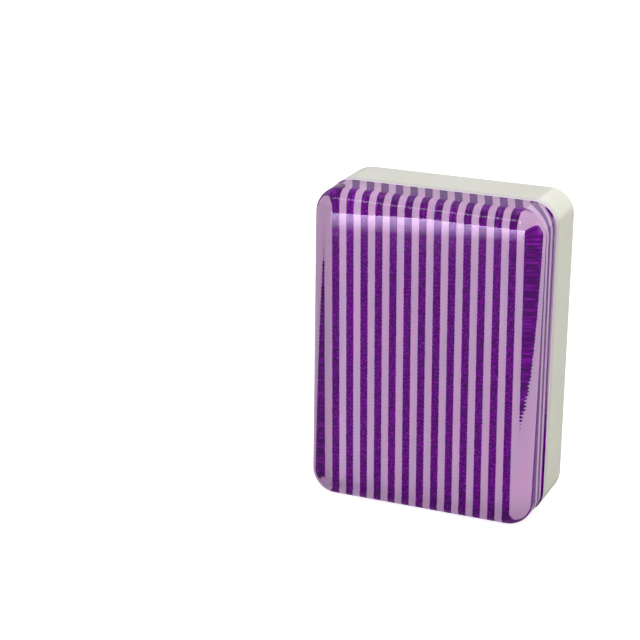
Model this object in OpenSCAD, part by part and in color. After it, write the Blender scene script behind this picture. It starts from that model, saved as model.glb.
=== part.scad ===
// Mahjong tile: an engraved white face block glued to a striped sheet under a clear back.
// X runs across the tile, Z up its height. The engraved face looks along -Y, the clear back along +Y.
// The origin is in the middle of the short end that the tile stands on. All sizes are in millimetres.

/* [Tile] */
// Width of the tile
tile_w = 22; // [18:0.5:32]
// Height of the tile
tile_h = 30; // [24:0.5:44]
// Depth from the engraved face to the clear back
tile_d = 10.5; // [9:0.1:24]
// Radius of the four corners in the face's outline
corner_r = 2.4; // [2.3:0.1:4]
// Radius of the polished edges round the face and the back
edge_r = 1.3; // [0.6:0.1:1.8]

/* [Layers] */
// Thickness of the clear back
clear_t = 3.9; // [2.8:0.1:5]
// How far the clear back stands inside the sheet's edge, all round
clear_inset = 0.05; // [0:0.05:0.4]
// Thickness of each glue line
bond_t = 0.1; // [0.05:0.01:0.3]
// Thickness of the lavender sheet
sheet_t = 0.25; // [0.1:0.05:0.8]

/* [Printed stripes] */
// Distance from one dark stripe to the next
stripe_pitch = 1.41; // [0.9:0.01:3]
// Width of a dark stripe
stripe_w = 0.7; // [0.3:0.05:0.8]
// Thickness of the ink
ink_t = 0.03; // [0.01:0.01:0.04]
// Sideways shift of the printed pattern from the tile's middle
stripe_shift = 0.1; // [-0.7:0.05:0.7]
// Lean of the printed pattern from the upright, in degrees
stripe_lean = 1.05; // [-3:0.05:3]

/* [Engraved ring] */
// Width of the ring's groove
ring_stroke = 1; // [0.6:0.05:1.4]
// Flat border between the ring's groove and the polished edge
ring_border = 1.3; // [0.3:0.1:2]

/* [Engraved petals] */
// Number of petals round the middle
petal_count = 8; // [6:1:10]
// Width of a petal's groove
petal_stroke = 0.6; // [0.4:0.05:0.7]
// Least white between two petals, and between the petals and the ring
petal_gap = 0.4; // [0.2:0.05:0.6]
// Distance from the tile's middle to the petals' inner tips
petal_start = 2.4; // [2.2:0.1:2.8]
// Width of the vein's groove inside a petal
vein_stroke = 0.5; // [0.3:0.05:0.55]
// Distance from a petal's tips to the ends of its vein
vein_inset = 1.2; // [0.9:0.1:1.6]
// Width of the round dot engraved in the middle
boss_w = 2.6; // [1.2:0.1:2.8]

/* [Engraved blossoms] */
// Width of one blossom
blossom_w = 3.9; // [3:0.1:4.5]
// Width of each of a blossom's five dots
blossom_dot = 1.3; // [0.8:0.05:1.3]
// Width of a blossom's middle dot
blossom_eye = 0.8; // [0.4:0.05:0.8]
// Flat border between a blossom and the polished edge
blossom_border = 1; // [0.2:0.1:2]

/* [Enamel] */
// Depth of the dots and the boss
dot_depth = 0.4; // [0.3:0.05:0.6]
// How far the enamel lies below the face
enamel_recess = 0.1; // [0.03:0.01:0.12]
// Play between the enamel and the wall of its groove
enamel_gap = 0.005; // [0.002:0.001:0.01]

/* [Hidden] */
$fn = 96;
eps = 0.01;

// Layers, from the back to the face
y_back = tile_d / 2;
y_face = -tile_d / 2;
y_clear = y_back - clear_t;
y_sheet = y_clear - bond_t;
y_sheet_front = y_sheet - sheet_t;
y_block = y_sheet_front - bond_t;
block_t = y_block - y_face;

// Flat part of the face, inside the polished edges
mid_h = tile_h / 2;
flat_w = tile_w - 2 * edge_r;
flat_h = tile_h - 2 * edge_r;

// Stripes that reach across the leaning sheet
stripe_reach = tile_w / 2 + tile_h * abs(tan(stripe_lean)) + stripe_pitch;
stripe_steps = ceil(stripe_reach / stripe_pitch);

// Blossoms stand in the corners of the flat face, and the ring fits between them and the edges
BLOSSOM_COUNT = 4;
BLOSSOM_DOTS = 5;
blossom_x = flat_w / 2 - blossom_border - blossom_w / 2;
blossom_z = flat_h / 2 - blossom_border - blossom_w / 2;
blossom_dot_r = blossom_w / 2 - blossom_dot / 2;
ring_reach = flat_w / 2 - ring_border;
ring_clear = norm([blossom_x, blossom_z]) - blossom_w / 2 - petal_gap;
ring_r = min(ring_reach, ring_clear) - ring_stroke / 2;

// A petal is two arcs that cross at its tips, as wide as its share of the circle allows
petal_pitch = 360 / petal_count;
petal_end = ring_r - ring_stroke / 2 - petal_gap - petal_stroke / 2;
petal_mid = (petal_start + petal_end) / 2;
petal_half = (petal_end - petal_start) / 2;
petal_room = petal_mid * sin(petal_pitch / 2) - petal_gap / 2 - petal_stroke / 2;
petal_slack = pow(petal_room, 2) - pow(petal_half * sin(petal_pitch / 2), 2);
petal_side = (petal_room + sqrt(petal_slack)) / (1 + cos(petal_pitch / 2));
petal_arc_r = (petal_half * petal_half + petal_side * petal_side) / (2 * petal_side);
vein_half = max(petal_half - vein_inset, eps);

// Placing

// Stands a plan up in the tile: plan x stays X, plan y becomes Z, and its thickness grows towards the face
module towards_face(y)
    translate([0, y, 0]) rotate([90, 0, 0]) children();

// The same with the thickness growing towards the back
module towards_back(y)
    translate([0, y, 0]) mirror([0, 1, 0]) rotate([90, 0, 0]) children();

// Places what is drawn round the middle of the face
module on_face()
    towards_face(y_face) translate([0, mid_h, 0]) children();

// Layer outlines

module corner_places()
    for (x = [-1, 1], y = [-1, 1])
        translate([x * (tile_w / 2 - corner_r), mid_h + y * (mid_h - corner_r)]) children();

// The tile's outline, drawn in by inset all round
module tile_outline(inset = 0) {
    translate([inset - tile_w / 2, corner_r]) square([tile_w - 2 * inset, tile_h - 2 * corner_r]);
    translate([corner_r - tile_w / 2, inset]) square([tile_w - 2 * corner_r, tile_h - 2 * inset]);
    corner_places() circle(corner_r - inset);
}

// Section across a slab of the given width, with both upper edges rounded
module slab_section(width, thickness) {
    translate([-width / 2, 0]) square([width, thickness - edge_r]);
    translate([edge_r - width / 2, 0]) square([width - 2 * edge_r, thickness]);
    intersection() {
        for (x = [-1, 1])
            translate([x * (width / 2 - edge_r), thickness - edge_r]) circle(edge_r);
        translate([-width / 2, 0]) square([width, thickness]);
    }
}

// Section from a slab corner's own axis outwards
module corner_section(radius, thickness) {
    intersection() {
        slab_section(2 * radius, thickness);
        square([radius, thickness]);
    }
}

// A slab with the tile's outline drawn in by inset, flat below and with rounded edges above
module rounded_slab(thickness, inset = 0) {
    translate([0, tile_h - corner_r, 0]) rotate([90, 0, 0])
        linear_extrude(tile_h - 2 * corner_r) slab_section(tile_w - 2 * inset, thickness);
    translate([corner_r - tile_w / 2, mid_h, 0]) rotate([90, 0, 90])
        linear_extrude(tile_w - 2 * corner_r) slab_section(tile_h - 2 * inset, thickness);
    corner_places() rotate_extrude() corner_section(corner_r - inset, thickness);
}

// Ball-ended cuts, each with the middle of its tool on the face

module ring_cut(radius, stroke)
    rotate_extrude() translate([radius, 0]) circle(d = stroke);

// A straight cut along plan y, with its middle at the origin
module straight_cut(half_length, stroke) {
    rotate([90, 0, 0]) cylinder(d = stroke, h = 2 * half_length, center = true);
    for (y = [-1, 1])
        translate([0, y * half_length, 0]) sphere(d = stroke);
}

// A round dot cut by a larger ball, as wide as width on the face
module dot_cut(width, play = 0) {
    ball_r = (width * width / 4 + dot_depth * dot_depth) / (2 * dot_depth);
    translate([0, 0, ball_r - dot_depth]) sphere(ball_r - play);
}

// One side of a petal's outline: an arc that ends on the petal's own axis
module petal_flank(stroke) {
    reach = petal_arc_r + petal_side;
    intersection() {
        translate([petal_arc_r - petal_side, 0, 0]) ring_cut(petal_arc_r, stroke);
        translate([-reach, -reach, -stroke]) cube([reach, 2 * reach, 2 * stroke]);
    }
}

// One petal's closed outline, with its vein
module petal_cut(play = 0)
    translate([0, petal_mid, 0]) {
        petal_flank(petal_stroke - 2 * play);
        mirror([1, 0, 0]) petal_flank(petal_stroke - 2 * play);
        straight_cut(vein_half, vein_stroke - 2 * play);
    }

module petal_place(i)
    rotate([0, 0, -(i - 1) * petal_pitch]) children();

module blossom_cut(play = 0) {
    for (i = [0 : BLOSSOM_DOTS - 1])
        rotate([0, 0, i * 360 / BLOSSOM_DOTS]) translate([0, blossom_dot_r, 0]) dot_cut(blossom_dot, play);
    dot_cut(blossom_eye, play);
}

// Corners 1 to 4 run left to right along the top, then along the bottom
module blossom_place(i) {
    side = i % 2 == 1 ? -1 : 1;
    level = i <= 2 ? 1 : -1;
    translate([side * blossom_x, level * blossom_z, 0]) children();
}

// What lies below the enamel's level in a cut
module below_recess()
    intersection() {
        children();
        translate([-tile_w / 2, -mid_h, -block_t]) cube([tile_w, tile_h, block_t - enamel_recess]);
    }

// Pieces

module face_block() {
    color("ivory")
        difference() {
            towards_face(y_block) rounded_slab(block_t);
            on_face() {
                ring_cut(ring_r, ring_stroke);
                dot_cut(boss_w);
                for (i = [1 : petal_count])
                    petal_place(i) petal_cut();
                for (i = [1 : BLOSSOM_COUNT])
                    blossom_place(i) blossom_cut();
            }
        }
}

module front_bond() {
    color("gainsboro") towards_face(y_sheet_front) linear_extrude(bond_t) tile_outline();
}

module stripe_sheet() {
    color("plum") towards_face(y_sheet) linear_extrude(sheet_t) tile_outline();
}

// Dark bands that lie on the sheet, cut off at the tile's outline
module stripe_bands(thickness) {
    intersection() {
        linear_extrude(thickness) tile_outline();
        translate([stripe_shift, mid_h, -eps]) rotate([0, 0, -stripe_lean])
            for (i = [-stripe_steps : stripe_steps - 1])
                translate([(i + 0.5) * stripe_pitch - stripe_w / 2, -tile_h, 0])
                    cube([stripe_w, 2 * tile_h, thickness + 2 * eps]);
    }
}

module printed_stripes() {
    color("indigo") towards_back(y_sheet) stripe_bands(ink_t);
}

module back_bond() {
    color("lavender")
        difference() {
            towards_back(y_sheet) linear_extrude(bond_t) tile_outline(clear_inset);
            towards_back(y_sheet) stripe_bands(ink_t);
        }
}

module clear_back() {
    color("thistle", 0.4) towards_back(y_clear) rounded_slab(clear_t, clear_inset);
}

module ring_enamel() {
    color("black") on_face() below_recess() ring_cut(ring_r, ring_stroke - 2 * enamel_gap);
}

module boss_enamel() {
    color("firebrick") on_face() below_recess() dot_cut(boss_w, enamel_gap);
}

module petal_enamel(i) {
    color("darkgreen") on_face() below_recess() petal_place(i) petal_cut(enamel_gap);
}

module blossom_enamel(i) {
    color("firebrick") on_face() below_recess() blossom_place(i) blossom_cut(enamel_gap);
}

face_block();
front_bond();
stripe_sheet();
printed_stripes();
back_bond();
clear_back();
ring_enamel();
boss_enamel();
for (i = [1 : petal_count])
    petal_enamel(i);
for (i = [1 : BLOSSOM_COUNT])
    blossom_enamel(i);
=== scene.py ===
import math
from itertools import groupby

import bmesh
import bpy
from mathutils import Matrix, Vector, kdtree, noise
from mathutils.geometry import delaunay_2d_cdt


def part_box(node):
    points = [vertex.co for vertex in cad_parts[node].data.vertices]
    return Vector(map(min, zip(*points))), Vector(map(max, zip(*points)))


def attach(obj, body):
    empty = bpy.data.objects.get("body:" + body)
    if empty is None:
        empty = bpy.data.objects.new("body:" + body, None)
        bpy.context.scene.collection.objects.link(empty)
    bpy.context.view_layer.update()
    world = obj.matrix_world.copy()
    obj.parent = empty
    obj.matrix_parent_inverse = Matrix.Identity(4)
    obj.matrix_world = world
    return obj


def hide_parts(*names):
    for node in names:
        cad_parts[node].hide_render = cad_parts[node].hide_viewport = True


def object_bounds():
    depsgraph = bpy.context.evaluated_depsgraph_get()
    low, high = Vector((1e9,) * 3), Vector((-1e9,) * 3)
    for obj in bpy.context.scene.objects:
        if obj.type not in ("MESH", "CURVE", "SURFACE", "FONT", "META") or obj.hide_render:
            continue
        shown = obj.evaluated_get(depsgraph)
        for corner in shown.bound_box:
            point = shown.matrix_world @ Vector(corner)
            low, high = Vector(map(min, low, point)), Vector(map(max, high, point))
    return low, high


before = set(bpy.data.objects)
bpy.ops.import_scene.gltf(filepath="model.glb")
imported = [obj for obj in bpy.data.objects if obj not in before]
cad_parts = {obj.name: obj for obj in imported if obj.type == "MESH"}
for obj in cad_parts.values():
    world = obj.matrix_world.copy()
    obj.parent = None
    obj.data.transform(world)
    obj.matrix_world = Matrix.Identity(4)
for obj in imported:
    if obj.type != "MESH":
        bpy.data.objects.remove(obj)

cad_low, cad_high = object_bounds()
MM = 0.001

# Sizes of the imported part
HALF_W = (cad_high.x - cad_low.x) / 2
TILE_H = cad_high.z - cad_low.z
MID_Z = TILE_H / 2
Y_FACE = cad_low.y
Y_BACK = cad_high.y
Y_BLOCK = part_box("face_block")[1].y
Y_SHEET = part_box("stripe_sheet")[1].y
INK_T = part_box("printed_stripes")[1].y - Y_SHEET

# Rounding of the tile's outline and of its polished edges
CORNER_R = 2.4 * MM
EDGE_R = 1.3 * MM
CORNER_STEPS = 16
EDGE_STEPS = 20
CORNERS = ((1, 1), (-1, 1), (-1, -1), (1, -1))

# How far the clear back stands inside the sheet's edge, at its sides and at its ends
CLEAR_INSET = (0.12 * MM, 0.02 * MM)

# How far the clear back's inner face passes into the sheet, so that no air is left between them
OPTICAL_LAP = 0.02 * MM

# Printed stripes, numbered from the middle, with one to spare past either side of the tile. The outer one
# on the +X side lies a little further out.
STRIPE_PITCH = 1.416 * MM
STRIPE_W = 0.72 * MM
STRIPE_SHIFT = 0.14 * MM
STRIPE_LEAN = math.radians(1.05)
OUTER_STRIPE = 7
OUTER_STRIPE_SHIFT = 0.06 * MM
SPARE_STRIPES = 1

# Mesh of the ink: the height of a row, the places across a row, the thinnest row and the fewest rows
INK_ROW = 0.06 * MM
INK_COLUMNS = (0.0, 0.5, 1.0)
THINNEST_INK = 0.001 * MM
FEWEST_ROWS = 3

# Beads that the halftone dots leave on a stripe's edges, and the slower drift of those edges
BEAD_PITCH = 0.36 * MM
BEAD_DEPTH = 0.035 * MM
BEAD_MEAN = 0.64
DRIFT_PITCH = 0.8 * MM
DRIFT_SHARE = 0.6

# What sets the beads of one stripe, and of its two edges, apart from the next
STRIPE_SEED = 7.0
EDGE_SEED = 3.1
SEED_PHASE = 0.4

# Engraved strokes, as in the part, with the ring's radius taken from its enamel
RING_STROKE = 1.0 * MM
RING_R = (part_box("ring_enamel")[1].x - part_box("ring_enamel")[0].x) / 2 - RING_STROKE / 2
PETAL_COUNT = 8
PETAL_STROKE = 0.6 * MM
PETAL_GAP = 0.4 * MM
PETAL_START = 2.4 * MM
VEIN_STROKE = 0.5 * MM
VEIN_INSET = 1.2 * MM
BOSS_W = 2.6 * MM
BLOSSOM_COUNT = 4
BLOSSOM_W = 3.9 * MM
BLOSSOM_DOTS = 5
BLOSSOM_DOT = 1.3 * MM
BLOSSOM_EYE = 0.8 * MM
BLOSSOM_BORDER = 1.0 * MM

# A petal is two arcs that cross at its tips, as wide as its share of the circle allows
PETAL_TURN = math.pi / PETAL_COUNT
PETAL_END = RING_R - RING_STROKE / 2 - PETAL_GAP - PETAL_STROKE / 2
PETAL_MID = (PETAL_START + PETAL_END) / 2
PETAL_HALF = (PETAL_END - PETAL_START) / 2
PETAL_ROOM = PETAL_MID * math.sin(PETAL_TURN) - PETAL_GAP / 2 - PETAL_STROKE / 2
PETAL_SLACK = PETAL_ROOM ** 2 - (PETAL_HALF * math.sin(PETAL_TURN)) ** 2
PETAL_SIDE = (PETAL_ROOM + math.sqrt(PETAL_SLACK)) / (1 + math.cos(PETAL_TURN))
PETAL_ARC_R = (PETAL_HALF ** 2 + PETAL_SIDE ** 2) / (2 * PETAL_SIDE)
VEIN_HALF = PETAL_HALF - VEIN_INSET

# Steps round a stroke's outline, and from its wall to its middle
ARC_STEPS = 48
RING_STEPS = 192
ENAMEL_RINGS = 4

# Grooves. In the visual they have straight walls and one depth, as the enamel hides their floors.
# A soft lip runs along each of them, and round it lies a tint that is partly enamel residue and partly
# painted light of the enamel's colour bleeding into the white.
GROOVE_DEPTH = 0.3 * MM
LIP = 0.04 * MM
LIP_DROP = 0.025 * MM
HALO = 0.28 * MM
HALO_STRENGTH = 0.8
HALO_FALLOFF = 1.5

# Enamel: its level below the face at the groove's wall and in the middle of the stroke, and how far its
# underside stays clear of the groove's floor
ENAMEL_EDGE = 0.05 * MM
ENAMEL_MIDDLE = 0.12 * MM
ENAMEL_CLEAR = 0.01 * MM
ENAMEL_UNDER = GROOVE_DEPTH - ENAMEL_CLEAR

# How far the loops inside a dot or a vein draw in towards its middle, as a share of its half width
FILL_REACH = 0.98
FLOOR_REACH = 0.9

# Meshing: the angles up to which faces look smooth together, the distances at which points are one, and
# the triangulation's setting for triangles inside the outer loop
SMOOTH_ANGLE = math.radians(35)
BLOCK_SMOOTH_ANGLE = math.radians(50)
WELD_DISTANCE = 1e-8
CUT_TOLERANCE = 1e-9
TRIANGLES_INSIDE = 1


def srgb(red, green, blue):
    """A colour as a picture shows it, 0 to 255, as the linear values that shaders take."""
    def linear(value):
        v = value / 255
        return v / 12.92 if v <= 0.04045 else ((v + 0.055) / 1.055) ** 2.4
    return linear(red), linear(green), linear(blue)


# Colours of the block, the sheet, the glue and the ink
WHITE = srgb(236, 236, 228)
WHITE_WARM = srgb(232, 231, 221)
# Painted light: the sheet's purple light bleeding into the white near the seam, laid on as a tint
SEAM_LIGHT_BLEED = srgb(214, 196, 220)
FILM = srgb(226, 219, 228)
LAVENDER = srgb(231, 191, 229)
LAVENDER_PINK = srgb(238, 184, 228)
LAVENDER_GREY = srgb(217, 190, 228)
GLUE_DARK = srgb(220, 212, 220)
GLUE_LIGHT = srgb(230, 224, 228)
PURPLE = srgb(124, 0, 153)
PURPLE_LIGHT = srgb(160, 24, 196)
PURPLE_DARK = srgb(89, 0, 115)

# Colours of the enamels, and the tint round each on the white: partly enamel residue, partly painted light
# of its colour bleeding into the white
ENAMEL_DARK = {"black": srgb(14, 14, 20), "green": srgb(14, 84, 26), "red": srgb(158, 8, 20)}
ENAMEL_LIGHT = {"black": srgb(30, 30, 36), "green": srgb(30, 108, 36), "red": srgb(186, 22, 32)}
# Painted light: these tints are partly enamel residue and partly the enamel's colour bleeding into the
# white
RESIDUE_AND_LIGHT_BLEED_TINT = {"black": srgb(208, 206, 206), "green": srgb(214, 226, 190), "red": srgb(238, 200, 196)}

# Noise of the finishes: scale, detail and, where it is drawn out, the share of the scale along each axis
WHITE_CLOUD = (160.0, 4.0)
FILM_STREAKS = (2200.0, 2.0, (1.0, 1.0, 0.05))
FILM_GRAIN = (5200.0, 2.0)
ENAMEL_CLOUD = (900.0, 4.0)
ENAMEL_RIPPLE = (3000.0, 3.0)
GLUE_CLOUD = (700.0, 2.0)
HALFTONE_SCALE = 4200.0

# Colours along that noise, and for the ink along the distance from a dot's middle
WHITE_RAMP = ((0.35, WHITE_WARM), (0.65, WHITE))
FILM_RAMP = ((0.3, LAVENDER_GREY), (0.5, LAVENDER), (0.7, LAVENDER_PINK))
INK_RAMP = ((0.15, PURPLE_LIGHT), (0.4, PURPLE), (0.6, PURPLE_DARK))
GLUE_RAMP = ((0.3, GLUE_DARK), (0.7, GLUE_LIGHT))
ENAMEL_STOPS = (0.38, 0.7)

# Gloss. A roughness of two values follows the cloud from one end of its range to the other.
CLOUD_RANGE = (0.3, 0.7)
WHITE_ROUGHNESS = (0.19, 0.26)
ENAMEL_ROUGHNESS = (0.17, 0.26)
PRINT_ROUGHNESS = 0.5
GLUE_ROUGHNESS = 0.3
PLASTIC_IOR = 1.5
ENAMEL_COAT = 0.4
ENAMEL_COAT_ROUGHNESS = 0.12
RIPPLE_STRENGTH = 0.25
RIPPLE_HEIGHT = 0.01 * MM

# Painted light of the sheet bleeding into the white near the seam, the sheet's grain and the depth of its
# printed colour
SEAM_DEPTH = 0.9 * MM
SEAM_LIGHT_BLEED_STRENGTH = 0.55
GRAIN_RANGE = (0.35, 0.65)
GRAIN_STRENGTH = 0.12
PRINT_T = 0.04 * MM

# Clear acrylic, faintly violet in its depth
ACRYLIC_IOR = 1.49
CLEAR_COLOUR = (0.985, 0.98, 0.99)
CLEAR_SHEEN = (0.5, 0.5, 0.5)
CLEAR_TINT = (0.92, 0.89, 0.95)
CLEAR_DENSITY = 75.0

# Stage: the floor, the world's light, and the sky where it is seen, which dims between two heights
FLOOR_HALF = 2.0
FLOOR_COLOUR = (0.55, 0.55, 0.55)
FLOOR_GLOW = 0.76
WORLD_LIGHT = 0.52
SKY_SHOWN = 0.3
HORIZON = (0.3, 0.5)
SEEN_THROUGH_GLASS = 0.75

# Directions and colours of the lights
UP = Vector((0.0, 0.0, 1.0))
TILE_MIDDLE = Vector((0.0, 0.0, MID_Z))
PLAIN_LIGHT = (1.0, 1.0, 1.0)
WARM_LIGHT = (1.0, 1.0, 0.75)
VIOLET_LIGHT = (0.8, 0.66, 1.0)

# Box above the tile
OVERHEAD_Z = 0.5
OVERHEAD_SIZE = (0.4, 0.4)
OVERHEAD_POWER = 0.36

# Boxes round the tile: azimuth and elevation in degrees, size, power and colour, at one distance
SOFT_BOX_D = 0.5
SOFT_BOXES = {
    "face_box": (350.0, 15.0, (0.35, 0.35), 0.35, PLAIN_LIGHT),
    "side_box": (272.0, 25.0, (0.3, 0.3), 0.55, WARM_LIGHT),
    "far_side_box": (85.0, 25.0, (0.3, 0.3), 0.25, PLAIN_LIGHT),
}

# Opening of the light box: its direction, distance, half width and height, and the lamps along its edges
OPENING_AZIMUTH = 158.5
OPENING_D = 0.25
OPENING_HALF = 0.06
OPENING_TOP = 0.151
OPENING_BAR = 0.06
OPENING_POST = 0.008
OPENING_TOP_POWER = 0.14
OPENING_POST_POWER = 0.075

# Low sill of the opening, which fades from its upper edge to its lower one. It lights the floor that the
# clear back's flat mirrors along its upper edge.
SILL_AT = Vector((0.033, Y_BACK + 0.0948, 0.0015))
SILL_ALONG = Vector((0.999, -0.03, 0.0))
SILL_SIZE = (0.034, 0.003)
SILL_POWER = 0.004
SILL_FADE = (2.0, 0.0)

# The photograph's camera, in the tile's own frame, its lens and sensor in millimetres
CAMERA_AT = Vector((-58.026, 166.208, 76.315)) * MM
CAMERA_RIGHT = Vector((-0.91961, -0.39271, 0.01207))
CAMERA_UP = Vector((0.13593, -0.2892, 0.94753))
LENS = 112.5
SENSOR = 36.0
CLIP_NEAR = 0.005
CLIP_FAR = 20.0


# Meshes and objects

def loft(loops, cap_first=True, cap_last=True, ring=False):
    """Points and faces of a surface through loops of equal length. A ring joins the last to the first."""
    count = len(loops[0])
    rows = len(loops)
    points = [point for loop in loops for point in loop]
    faces = []
    for row in range(rows if ring else rows - 1):
        a = row * count
        b = (row + 1) % rows * count
        for i in range(count):
            j = (i + 1) % count
            faces.append((a + i, a + j, b + j, b + i))
    if cap_first and not ring:
        faces.append(tuple(reversed(range(count))))
    if cap_last and not ring:
        faces.append(tuple(range(len(points) - count, len(points))))
    return points, faces


def add_surface(points, faces, surface):
    """Adds the points and faces of one more surface to a mesh's lists."""
    start = len(points)
    more_points, more_faces = surface
    points.extend(more_points)
    faces.extend(tuple(start + i for i in face) for face in more_faces)


def new_mesh(name, points, faces):
    """A mesh of points and faces."""
    mesh = bpy.data.meshes.new(name)
    mesh.from_pydata(points, [], faces)
    mesh.validate()
    mesh.update()
    return mesh


def add_object(data):
    """Puts a mesh, lamp or camera into the scene under its own name."""
    made = bpy.data.objects.new(data.name, data)
    bpy.context.scene.collection.objects.link(made)
    return made


def turn_outwards(mesh):
    """Welds the points of a closed mesh that lie in one place, and makes all its faces look outwards."""
    work = bmesh.new()
    work.from_mesh(mesh)
    bmesh.ops.remove_doubles(work, verts=work.verts, dist=WELD_DISTANCE)
    bmesh.ops.recalc_face_normals(work, faces=work.faces)
    if work.calc_volume(signed=True) < 0:
        bmesh.ops.reverse_faces(work, faces=work.faces)
    work.to_mesh(mesh)
    work.free()


def make_piece(mesh, material, nodes, smooth_angle=SMOOTH_ANGLE):
    """Makes a closed mesh a piece that rides on the tile and stands for the named CAD nodes."""
    turn_outwards(mesh)
    mesh.shade_smooth()
    mesh.set_sharp_from_angle(angle=smooth_angle)
    mesh.materials.append(material)
    piece = add_object(mesh)
    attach(piece, "root")
    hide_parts(*nodes)


def placement(at, right, up, back):
    """The matrix of a lamp or camera that looks away from back."""
    return Matrix.Translation(at) @ Matrix((right, up, back)).transposed().to_4x4()


# Outline of the tile

def rounded_outline(inset, margin=(0.0, 0.0)):
    """The tile's outline as (x, z) points, drawn in by inset and by a margin at its sides and ends."""
    radius = max(CORNER_R - inset, 0.0)
    points = []
    for corner, (sx, sz) in enumerate(CORNERS):
        cx = sx * (HALF_W - CORNER_R - margin[0])
        cz = MID_Z + sz * (MID_Z - CORNER_R - margin[1])
        for step in range(CORNER_STEPS + 1):
            turn = math.radians(90 * (corner + step / CORNER_STEPS))
            points.append((cx + radius * math.cos(turn), cz + radius * math.sin(turn)))
    return points


def slab_loops(y_flat, y_round, margin=(0.0, 0.0)):
    """Loops of a slab inside the tile's outline, square at y_flat and rounded towards y_round."""
    side = 1 if y_round > y_flat else -1
    loops = [[(x, y_flat, z) for x, z in rounded_outline(0.0, margin)]]
    for step in range(EDGE_STEPS + 1):
        turn = math.radians(90 * step / EDGE_STEPS)
        inset = EDGE_R * (1 - math.cos(turn))
        y = y_round - side * EDGE_R * (1 - math.sin(turn))
        loops.append([(x, y, z) for x, z in rounded_outline(inset, margin)])
    return loops


def outline_half_width(z):
    """Half the tile's width at a height, inside its rounded corners."""
    drop = abs(z - MID_Z) - (MID_Z - CORNER_R)
    if drop <= 0:
        return HALF_W
    return HALF_W - CORNER_R + math.sqrt(max(CORNER_R ** 2 - drop ** 2, 0.0))


# Outlines of the engraved strokes, as (x, z) points from the middle of the face

def circle_loop(radius, steps=ARC_STEPS):
    """A circle round the origin."""
    turns = [2 * math.pi * i / steps for i in range(steps)]
    return [(radius * math.cos(turn), radius * math.sin(turn)) for turn in turns]


def capsule_loop(half_length, radius):
    """An upright capsule round the origin."""
    half = ARC_STEPS // 2
    points = []
    for end, start in ((half_length, 0.0), (-half_length, math.pi)):
        for i in range(half + 1):
            turn = start + math.pi * i / half
            points.append((radius * math.cos(turn), end + radius * math.sin(turn)))
    return points


def lens_loop(grow):
    """A petal's lens, its arcs grown by the distance and crossing on the petal's axis."""
    half = ARC_STEPS // 2
    offset = PETAL_ARC_R - PETAL_SIDE
    radius = PETAL_ARC_R + grow
    reach = math.acos(offset / radius)
    points = []
    for side in (1, -1):
        for i in range(half):
            turn = -reach + 2 * reach * i / half
            points.append((side * (radius * math.cos(turn) - offset), side * radius * math.sin(turn)))
    return points


def placed(loop, at, turn=0.0):
    """A loop moved out to its place and then turned about the middle of the face, clockwise."""
    cosine = math.cos(turn)
    sine = math.sin(turn)
    moved = [(x + at[0], z + at[1]) for x, z in loop]
    return [(x * cosine + z * sine, z * cosine - x * sine) for x, z in moved]


def on_face(loop, depth):
    """A loop of the face's plane as points at the depth below the face."""
    return [(x, Y_FACE + depth, MID_Z + z) for x, z in loop]


def inside(point, loop):
    """True if the point of the plane lies inside the loop."""
    x, z = point
    found = False
    for (ax, az), (bx, bz) in zip(loop, loop[1:] + loop[:1]):
        if (az > z) != (bz > z) and x < ax + (z - az) / (bz - az) * (bx - ax):
            found = not found
    return found


# Engraved strokes

class Stroke:
    """One engraved stroke, with the node that fills it, its colour and its half width.

    outer and inner give its edge loops grown by a distance. A band, such as the ring or a petal, has both.
    A dot or a vein has only an outer one.
    """

    def __init__(self, node, colour, width, outer, inner=None):
        self.node = node
        self.colour = colour
        self.half_width = width / 2
        self.outer = outer
        self.inner = inner
        self.edges = [edge for edge in (outer, inner) if edge is not None]
        self.loops = [edge(0.0) for edge in self.edges]
        self.low = [min(values) for values in zip(*self.loops[0])]
        self.high = [max(values) for values in zip(*self.loops[0])]

    def holds(self, point):
        """True if the point of the face lies in the stroke, which is inside one of its loops only."""
        for value, low, high in zip(point, self.low, self.high):
            if not low <= value <= high:
                return False
        return sum(inside(point, loop) for loop in self.loops) == 1


def ring_stroke():
    """The ring round the petals."""
    return Stroke("ring_enamel", "black", RING_STROKE,
                  lambda grow: circle_loop(RING_R + RING_STROKE / 2 + grow, RING_STEPS),
                  lambda grow: circle_loop(RING_R - RING_STROKE / 2 - grow, RING_STEPS))


def dot_stroke(node, width, at):
    """A round red dot."""
    return Stroke(node, "red", width, lambda grow: placed(circle_loop(width / 2 + grow), at))


def petal_strokes(number):
    """A petal's outline and its vein. Petal 1 points up, and the others follow clockwise."""
    node = f"petal_enamel_{number}"
    at = (0.0, PETAL_MID)
    turn = 2 * math.pi * (number - 1) / PETAL_COUNT
    outline = Stroke(node, "green", PETAL_STROKE,
                     lambda grow: placed(lens_loop(PETAL_STROKE / 2 + grow), at, turn),
                     lambda grow: placed(lens_loop(-PETAL_STROKE / 2 - grow), at, turn))
    vein = Stroke(node, "green", VEIN_STROKE,
                  lambda grow: placed(capsule_loop(VEIN_HALF, VEIN_STROKE / 2 + grow), at, turn))
    return [outline, vein]


def blossom_centre(number):
    """Corners 1 to 4 run from -X to +X along the top, then along the bottom."""
    inset = EDGE_R + BLOSSOM_BORDER + BLOSSOM_W / 2
    side = -1 if number % 2 == 1 else 1
    level = 1 if number <= 2 else -1
    return side * (HALF_W - inset), level * (MID_Z - inset)


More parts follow.
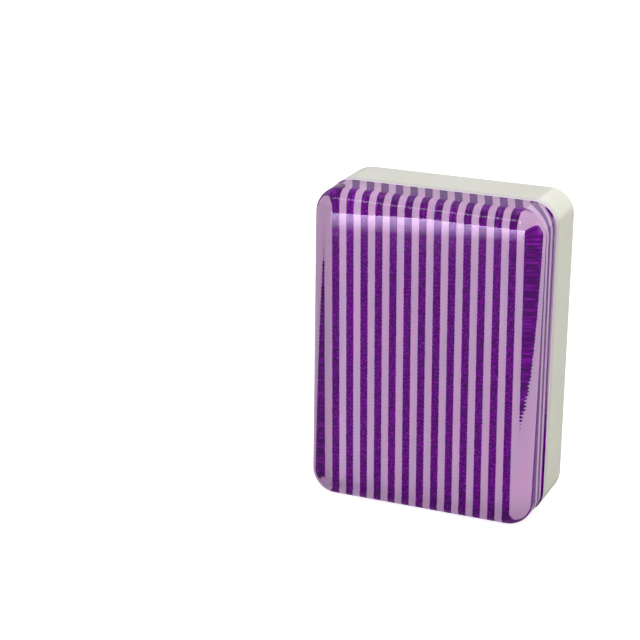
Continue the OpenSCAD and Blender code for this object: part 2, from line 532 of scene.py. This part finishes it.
def blossom_strokes(number):
    """A corner blossom: dots in a circle round an eye."""
    node = f"blossom_enamel_{number}"
    cx, cz = blossom_centre(number)
    reach = BLOSSOM_W / 2 - BLOSSOM_DOT / 2
    turns = [2 * math.pi * dot / BLOSSOM_DOTS for dot in range(BLOSSOM_DOTS)]
    places = [(cx - reach * math.sin(turn), cz + reach * math.cos(turn)) for turn in turns]
    dots = [dot_stroke(node, BLOSSOM_DOT, at) for at in places]
    return dots + [dot_stroke(node, BLOSSOM_EYE, (cx, cz))]


def all_strokes():
    """Every engraved stroke of the face."""
    strokes = [ring_stroke(), dot_stroke("boss_enamel", BOSS_W, (0.0, 0.0))]
    for number in range(1, PETAL_COUNT + 1):
        strokes.extend(petal_strokes(number))
    for number in range(1, BLOSSOM_COUNT + 1):
        strokes.extend(blossom_strokes(number))
    return strokes


STROKES = all_strokes()


# Materials

class NodeTree:
    """Short calls for building the node tree of a material, a lamp or the world."""

    def __init__(self, owner):
        owner.use_nodes = True
        self.tree = owner.node_tree
        self.tree.nodes.clear()

    def add(self, kind, inputs=None, **settings):
        """A node with its settings, and its inputs linked or filled in."""
        made = self.tree.nodes.new(kind)
        for key, value in settings.items():
            setattr(made, key, value)
        for key, value in (inputs or {}).items():
            self.put(made.inputs[key], value)
        return made

    def put(self, socket, value):
        """Links another node's output to a socket, or fills in a plain value."""
        if isinstance(value, bpy.types.NodeSocket):
            self.tree.links.new(value, socket)
        elif socket.type == "RGBA":
            socket.default_value = (*value, 1.0)
        else:
            socket.default_value = value

    def place(self):
        """Where a point lies in the part's frame."""
        return self.add("ShaderNodeTexCoord").outputs["Object"]

    def along(self, axis, vector):
        """A vector's value along an axis."""
        return self.add("ShaderNodeSeparateXYZ", {"Vector": vector}).outputs[axis]

    def calc(self, operation, a, b):
        """The result of an operation on two values."""
        return self.add("ShaderNodeMath", {0: a, 1: b}, operation=operation).outputs[0]

    def noise(self, scale, detail, shares=(1.0, 1.0, 1.0)):
        """Cloudy noise over the part."""
        scaled = self.add("ShaderNodeVectorMath", {0: self.place(), 1: shares}, operation="MULTIPLY")
        inputs = {"Vector": scaled.outputs[0], "Scale": scale, "Detail": detail}
        return self.add("ShaderNodeTexNoise", inputs).outputs["Fac"]

    def ramp(self, factor, stops):
        """A colour that follows a value through stops of place and colour."""
        made = self.add("ShaderNodeValToRGB", {"Fac": factor})
        elements = made.color_ramp.elements
        while len(elements) < len(stops):
            elements.new(0.5)
        for element, (at, colour) in zip(elements, stops):
            element.position = at
            element.color = (*colour, 1.0)
        return made.outputs["Color"]

    def blend(self, factor, a, b, data_type="RGBA"):
        """A mix of two colours or two values."""
        inputs = {"Factor": factor, "A": a, "B": b}
        return self.add("ShaderNodeMix", inputs, data_type=data_type).outputs["Result"]

    def map(self, value, source, target):
        """A value carried over from one range to another."""
        inputs = {"Value": value, "From Min": source[0], "From Max": source[1],
                  "To Min": target[0], "To Max": target[1]}
        return self.add("ShaderNodeMapRange", inputs).outputs["Result"]

    def bump(self, height, strength, distance):
        """Fine relief of a surface."""
        inputs = {"Height": height, "Strength": strength, "Distance": distance}
        return self.add("ShaderNodeBump", inputs).outputs["Normal"]

    def surface(self, **inputs):
        """A principled surface. In the names of its inputs, a low line stands for a space."""
        named = {key.replace("_", " "): value for key, value in inputs.items()}
        return self.add("ShaderNodeBsdfPrincipled", named).outputs["BSDF"]

    def finish(self, surface, kind="Material", **more):
        """The tree's output."""
        self.add(f"ShaderNodeOutput{kind}", {"Surface": surface, **more})


def white_block_material():
    """Polished white moulding, with painted light from the sheet bleeding into it near the seam, and round
    each groove a tint that is partly enamel residue and partly painted light of the enamel's colour
    bleeding into the white.
    """
    material = bpy.data.materials.new("white_moulding")
    tree = NodeTree(material)
    cloud = tree.noise(*WHITE_CLOUD)
    depth = tree.along("Y", tree.place())
    # Painted light: the sheet's purple light bleeding into the white, laid on as a tint that grows towards
    # the seam
    seam_light_bleed = tree.map(depth, (Y_BLOCK - SEAM_DEPTH, Y_BLOCK), (0.0, SEAM_LIGHT_BLEED_STRENGTH))
    tinted = tree.blend(seam_light_bleed, tree.ramp(cloud, WHITE_RAMP), SEAM_LIGHT_BLEED)
    # Painted light: the tint round each groove is partly enamel residue and partly the enamel's colour
    # bleeding into the white
    residue_and_light_bleed = tree.add("ShaderNodeAttribute", attribute_name="residue_and_light_bleed").outputs
    coloured = tree.blend(residue_and_light_bleed["Alpha"], tinted, residue_and_light_bleed["Color"])
    roughness = tree.map(cloud, CLOUD_RANGE, WHITE_ROUGHNESS)
    tree.finish(tree.surface(Base_Color=coloured, Roughness=roughness, IOR=PLASTIC_IOR))
    return material


def clear_material():
    """Polished clear acrylic, faintly violet where it is seen through from side to side."""
    material = bpy.data.materials.new("clear_acrylic")
    tree = NodeTree(material)
    tint = tree.add("ShaderNodeVolumeAbsorption", {"Color": CLEAR_TINT, "Density": CLEAR_DENSITY})
    body = tree.surface(Base_Color=CLEAR_COLOUR, Roughness=0.0, IOR=ACRYLIC_IOR,
                        Transmission_Weight=1.0, Specular_Tint=CLEAR_SHEEN)
    tree.finish(body, Volume=tint.outputs["Volume"])
    return material


def lavender_material():
    """White film, printed lavender on its back with faint upright streaks."""
    material = bpy.data.materials.new("lavender_film")
    tree = NodeTree(material)
    streaks = tree.ramp(tree.noise(*FILM_STREAKS), FILM_RAMP)
    grain = tree.map(tree.noise(*FILM_GRAIN), GRAIN_RANGE, (0.0, GRAIN_STRENGTH))
    shade = tree.blend(grain, streaks, LAVENDER_GREY)
    depth = tree.along("Y", tree.place())
    printed = tree.map(depth, (Y_SHEET - PRINT_T, Y_SHEET - PRINT_T / 2), (0.0, 1.0))
    colour = tree.blend(printed, FILM, shade)
    tree.finish(tree.surface(Base_Color=colour, Roughness=PRINT_ROUGHNESS, Specular_IOR_Level=0.0))
    return material


def ink_material():
    """Dark purple ink, printed as halftone dots."""
    material = bpy.data.materials.new("purple_ink")
    tree = NodeTree(material)
    dots = tree.add("ShaderNodeTexVoronoi", {"Vector": tree.place(), "Scale": HALFTONE_SCALE})
    colour = tree.ramp(dots.outputs["Distance"], INK_RAMP)
    tree.finish(tree.surface(Base_Color=colour, Roughness=PRINT_ROUGHNESS, Specular_IOR_Level=0.0))
    return material


def enamel_material(name):
    """Glossy enamel, thinner and lighter in places."""
    material = bpy.data.materials.new(f"{name}_enamel")
    tree = NodeTree(material)
    cloud = tree.noise(*ENAMEL_CLOUD)
    colour = tree.ramp(cloud, tuple(zip(ENAMEL_STOPS, (ENAMEL_DARK[name], ENAMEL_LIGHT[name]))))
    roughness = tree.map(cloud, CLOUD_RANGE, ENAMEL_ROUGHNESS)
    ripple = tree.bump(tree.noise(*ENAMEL_RIPPLE), RIPPLE_STRENGTH, RIPPLE_HEIGHT)
    tree.finish(tree.surface(Base_Color=colour, Roughness=roughness, IOR=PLASTIC_IOR, Normal=ripple,
                             Coat_Weight=ENAMEL_COAT, Coat_Roughness=ENAMEL_COAT_ROUGHNESS))
    return material


def glue_material():
    """Glue line, polished flush with the layers that it joins."""
    material = bpy.data.materials.new("glue_line")
    tree = NodeTree(material)
    colour = tree.ramp(tree.noise(*GLUE_CLOUD), GLUE_RAMP)
    tree.finish(tree.surface(Base_Color=colour, Roughness=GLUE_ROUGHNESS, IOR=PLASTIC_IOR))
    return material


# Clear back

def build_clear_back():
    """The clear back with its glue, as one closed piece that takes in the printed surface of the sheet."""
    surface = loft(slab_loops(Y_SHEET - OPTICAL_LAP, Y_BACK, CLEAR_INSET))
    mesh = new_mesh("clear_back_polished", *surface)
    make_piece(mesh, clear_material(), ["clear_back", "back_bond"])


# Printed stripes

def bead(z, seed):
    """How far a stripe's edge draws in at a height, between two halftone dots."""
    wave = abs(math.sin(math.pi * (z / BEAD_PITCH + SEED_PHASE * seed)))
    drift = noise.noise(Vector((z / DRIFT_PITCH, seed, 0.0)))
    return BEAD_DEPTH * (BEAD_MEAN - wave) + DRIFT_SHARE * BEAD_DEPTH * drift


def stripe_row(number, z):
    """Height, left and right of a stripe at a height, or None where the outline leaves none of it."""
    middle = STRIPE_SHIFT + (number + 0.5) * STRIPE_PITCH + (z - MID_Z) * math.tan(STRIPE_LEAN)
    if number == OUTER_STRIPE:
        middle += OUTER_STRIPE_SHIFT
    seed = STRIPE_SEED * number
    limit = outline_half_width(z)
    left = max(middle - STRIPE_W / 2 + bead(z, seed), -limit)
    right = min(middle + STRIPE_W / 2 - bead(z, seed + EDGE_SEED), limit)
    return (z, left, right) if right - left > THINNEST_INK else None


def ink_section(z, left, right):
    """A stripe's section at a height, as a loop across its top and back along its underside."""
    across = [left + (right - left) * share for share in INK_COLUMNS]
    top = [(x, Y_SHEET + INK_T, z) for x in across]
    under = [(x, Y_SHEET, z) for x in reversed(across)]
    return top + under


def build_stripes():
    """The dark printed stripes, their edges beaded as halftone dots leave them."""
    points, faces = [], []
    rows = int(TILE_H / INK_ROW)
    heights = [TILE_H * row / rows for row in range(rows + 1)]
    count = math.ceil(HALF_W / STRIPE_PITCH) + SPARE_STRIPES
    for number in range(-count, count):
        for printed, group in groupby((stripe_row(number, z) for z in heights), bool):
            run = list(group)
            if printed and len(run) >= FEWEST_ROWS:
                add_surface(points, faces, loft([ink_section(*row) for row in run]))
    mesh = new_mesh("printed_stripes_ink", points, faces)
    make_piece(mesh, ink_material(), ["printed_stripes"])


# White block

def add_loop(points, loop, depth):
    """Adds a loop to the block at a depth below its face, and gives the numbers of the new points."""
    start = len(points)
    points.extend(on_face(loop, depth))
    return range(start, len(points))


class FacePlan:
    """The loops that divide the flat of the face, and which of the block's points they run through."""

    def __init__(self):
        self.places = []
        self.numbers = []
        self.edges = []

    def add(self, loop, numbers):
        """One more closed loop, with its points' numbers in the block."""
        start = len(self.places)
        self.places.extend(Vector(place) for place in loop)
        self.numbers.extend(numbers)
        self.edges.extend((start + i, start + (i + 1) % len(loop)) for i in range(len(loop)))

    def fill(self, points, faces):
        """Adds the faces between the loops to the block, apart from those in a stroke."""
        places, _, polygons, sources, _, _ = delaunay_2d_cdt(
            self.places, self.edges, [], TRIANGLES_INSIDE, CUT_TOLERANCE)
        numbers = []
        for place, source in zip(places, sources):
            numbers.append(self.numbers[source[0]] if source else add_loop(points, [place], 0.0)[0])
        for polygon in polygons:
            middle = sum((places[i] for i in polygon), Vector((0.0, 0.0))) / len(polygon)
            if not any(stroke.holds(middle) for stroke in STROKES):
                faces.append(tuple(numbers[i] for i in polygon))


def cut_grooves(points, faces, plan):
    """Walls of every groove, and the loops of its lip and halo on the face."""
    for stroke in STROKES:
        for edge in stroke.edges:
            wall = edge(0.0)
            opening = add_loop(points, wall, LIP_DROP)
            plan.add(wall, opening)
            for grow in (LIP, HALO / 2, HALO):
                loop = edge(grow)
                plan.add(loop, add_loop(points, loop, 0.0))
            floor = add_loop(points, wall, GROOVE_DEPTH)
            for i in range(len(wall)):
                j = (i + 1) % len(wall)
                faces.append((opening[i], opening[j], floor[j], floor[i]))


def close_grooves(points, faces):
    """Floors of every groove, under the enamel."""
    for stroke in STROKES:
        is_band = stroke.inner is not None
        middle = stroke.inner(0.0) if is_band else stroke.outer(-FLOOR_REACH * stroke.half_width)
        loops = [on_face(loop, GROOVE_DEPTH) for loop in (stroke.outer(0.0), middle)]
        add_surface(points, faces, loft(loops, cap_first=False, cap_last=not is_band))


def residue_and_light_bleed_tints(points):
    """The tint round the nearest stroke at each point, partly enamel residue and partly painted light of
    its colour bleeding into the white, its strength as the fourth value.
    """
    marks = []
    for stroke in STROKES:
        for loop in stroke.loops:
            marks.extend((place, RESIDUE_AND_LIGHT_BLEED_TINT[stroke.colour]) for place in on_face(loop, 0.0))
    finder = kdtree.KDTree(len(marks))
    for number, (place, tint) in enumerate(marks):
        finder.insert(place, number)
    finder.balance()
    tints = []
    for point in points:
        place, number, distance = finder.find(point)
        strength = HALO_STRENGTH * max(0.0, 1 - distance / HALO) ** HALO_FALLOFF
        tints.append((*marks[number][1], strength))
    return tints


def build_white_block():
    """The white block: a rounded slab whose face is cut open along every engraved stroke."""
    loops = slab_loops(Y_BLOCK, Y_FACE)
    points, faces = loft(loops, cap_last=False)
    plan = FacePlan()
    rim = [(x, z - MID_Z) for x, y, z in loops[-1]]
    plan.add(rim, range(len(points) - len(rim), len(points)))
    cut_grooves(points, faces, plan)
    plan.fill(points, faces)
    close_grooves(points, faces)
    mesh = new_mesh("white_block_engraved", points, faces)
    # Painted light: each point's tint is partly enamel residue and partly the enamel's colour bleeding
    # into the white
    layer = mesh.attributes.new("residue_and_light_bleed", "FLOAT_COLOR", "POINT")
    for entry, tint in zip(layer.data, residue_and_light_bleed_tints(points)):
        entry.color = tint
    make_piece(mesh, white_block_material(), ["face_block"], BLOCK_SMOOTH_ANGLE)


# Enamel

def enamel_depth(share):
    """Depth of the enamel's surface below the face, at a share of the way from wall to wall."""
    return ENAMEL_EDGE + (ENAMEL_MIDDLE - ENAMEL_EDGE) * (1 - (2 * share - 1) ** 2)


def band_fill(stroke):
    """The enamel in a band, as a ring of loops from its outer wall to its inner one."""
    outer, inner = stroke.loops
    steps = 2 * ENAMEL_RINGS
    loops = [on_face(outer, ENAMEL_UNDER)]
    for step in range(steps + 1):
        share = step / steps
        between = [(ax + (bx - ax) * share, az + (bz - az) * share)
                   for (ax, az), (bx, bz) in zip(outer, inner)]
        loops.append(on_face(between, enamel_depth(share)))
    loops.append(on_face(inner, ENAMEL_UNDER))
    return loft(loops, ring=True)


def dot_fill(stroke):
    """The enamel in a dot or a vein, as loops from its wall to its middle."""
    reach = FILL_REACH * stroke.half_width
    loops = [on_face(stroke.outer(0.0), ENAMEL_UNDER)]
    for step in range(ENAMEL_RINGS + 1):
        share = step / ENAMEL_RINGS
        loops.append(on_face(stroke.outer(-share * reach), enamel_depth(share / 2)))
    return loft(loops)


def build_enamel():
    """One piece per enamel node: every stroke filled, a little hollow between its walls."""
    materials = {colour: enamel_material(colour) for colour in ENAMEL_DARK}
    shapes = {}
    for stroke in STROKES:
        _, points, faces = shapes.setdefault(stroke.node, (stroke.colour, [], []))
        fill = dot_fill(stroke) if stroke.inner is None else band_fill(stroke)
        add_surface(points, faces, fill)
    for node, (colour, points, faces) in shapes.items():
        mesh = new_mesh(f"{node}_fill", points, faces)
        make_piece(mesh, materials[colour], [node])


# Layers that keep their CAD shape

def dress_cad_nodes():
    """Materials of the sheet and of the glue before it."""
    for node, material in (("stripe_sheet", lavender_material()), ("front_bond", glue_material())):
        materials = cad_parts[node].data.materials
        materials.clear()
        materials.append(material)


# Stage

def seen_directly(tree):
    """1 for camera rays, less for glass rays, 0 for rays that light the object or that it mirrors."""
    path = tree.add("ShaderNodeLightPath").outputs
    through = tree.calc("MULTIPLY", path["Is Transmission Ray"], SEEN_THROUGH_GLASS)
    return tree.calc("MAXIMUM", path["Is Camera Ray"], through)


def build_floor():
    """A wide pale floor, white to the camera but for the tile's shadow."""
    corners = [(sx * FLOOR_HALF, sy * FLOOR_HALF, 0.0) for sx, sy in CORNERS]
    mesh = new_mesh("floor", corners, [(0, 1, 2, 3)])
    material = bpy.data.materials.new("pale_floor")
    tree = NodeTree(material)
    diffuse = tree.add("ShaderNodeBsdfDiffuse", {"Color": FLOOR_COLOUR}).outputs[0]
    strength = tree.calc("MULTIPLY", FLOOR_GLOW, seen_directly(tree))
    glow = tree.add("ShaderNodeEmission", {"Color": PLAIN_LIGHT, "Strength": strength}).outputs[0]
    tree.finish(tree.add("ShaderNodeAddShader", {0: diffuse, 1: glow}).outputs[0])
    mesh.materials.append(material)
    add_object(mesh)


def build_world():
    """Even light from all round. Seen directly it is white near the horizon and dim overhead."""
    world = bpy.data.worlds.new("studio")
    bpy.context.scene.world = world
    tree = NodeTree(world)
    height = tree.along("Z", tree.add("ShaderNodeTexCoord").outputs["Generated"])
    shown = tree.map(height, HORIZON, (1.0, SKY_SHOWN))
    strength = tree.blend(seen_directly(tree), WORLD_LIGHT, shown, data_type="FLOAT")
    sky = tree.add("ShaderNodeBackground", {"Color": PLAIN_LIGHT, "Strength": strength})
    tree.finish(sky.outputs[0], kind="World")


# Lights

def towards(azimuth, elevation=0.0):
    """The direction from the tile at an azimuth and an elevation, in degrees."""
    turn = math.radians(azimuth)
    rise = math.radians(elevation)
    level = Vector((math.sin(turn), -math.cos(turn), 0.0))
    return level * math.cos(rise) + UP * math.sin(rise)


def lamp(name, middle, along, size, power, colour=PLAIN_LIGHT, facing=None):
    """A flat lamp with its length along a direction. It faces the tile's middle unless told otherwise."""
    data = bpy.data.lights.new(name, "AREA")
    data.shape = "RECTANGLE"
    data.size, data.size_y = size
    data.energy = power
    data.color = colour
    back = (middle - TILE_MIDDLE if facing is None else -facing).normalized()
    right = (along - back * along.dot(back)).normalized()
    made = add_object(data)
    made.matrix_world = placement(middle, right, back.cross(right), back)
    made.visible_camera = False
    return made


def fade_downwards(data):
    """Makes a lamp bright along its upper edge and dark along its lower one."""
    tree = NodeTree(data)
    level = tree.along("Y", tree.add("ShaderNodeNewGeometry").outputs["Parametric"])
    glow = tree.add("ShaderNodeEmission", {"Strength": tree.map(level, (0.0, 1.0), SILL_FADE)})
    tree.finish(glow.outputs[0], kind="Light")


def build_soft_boxes():
    """Soft boxes above the tile, before its face and at its sides."""
    lamp("overhead_box", UP * OVERHEAD_Z, towards(90.0), OVERHEAD_SIZE, OVERHEAD_POWER)
    for name, (azimuth, elevation, size, power, colour) in SOFT_BOXES.items():
        middle = TILE_MIDDLE + towards(azimuth, elevation) * SOFT_BOX_D
        lamp(name, middle, towards(azimuth + 90.0), size, power, colour)


def build_opening():
    """The lit opening of a light box before the clear back: a bar, two posts and a low sill."""
    way = towards(OPENING_AZIMUTH)
    across = towards(OPENING_AZIMUTH - 90.0)
    top = way * OPENING_D + UP * OPENING_TOP
    lamp("opening_top", top, across, (2 * OPENING_HALF, OPENING_BAR), OPENING_TOP_POWER)
    for name, side in (("opening_left", 1), ("opening_right", -1)):
        middle = way * OPENING_D + across * side * OPENING_HALF + UP * OPENING_TOP / 2
        lamp(name, middle, UP, (OPENING_TOP, OPENING_POST), OPENING_POST_POWER)
    facing = SILL_ALONG.cross(UP)
    sill = lamp("opening_sill", SILL_AT, SILL_ALONG, SILL_SIZE, SILL_POWER, VIOLET_LIGHT, facing)
    fade_downwards(sill.data)


# Camera

def build_camera():
    """The photograph's camera."""
    data = bpy.data.cameras.new("photo_camera")
    data.lens = LENS
    data.sensor_width = SENSOR
    data.clip_start = CLIP_NEAR
    data.clip_end = CLIP_FAR
    right = CAMERA_RIGHT.normalized()
    up = (CAMERA_UP - right * CAMERA_UP.dot(right)).normalized()
    camera = add_object(data)
    camera.matrix_world = placement(CAMERA_AT, right, up, right.cross(up))
    bpy.context.scene.camera = camera


build_camera()
build_floor()
build_world()
build_soft_boxes()
build_opening()
build_clear_back()
build_stripes()
build_white_block()
build_enamel()
dress_cad_nodes()

bpy.context.scene.view_settings.view_transform = "Standard"
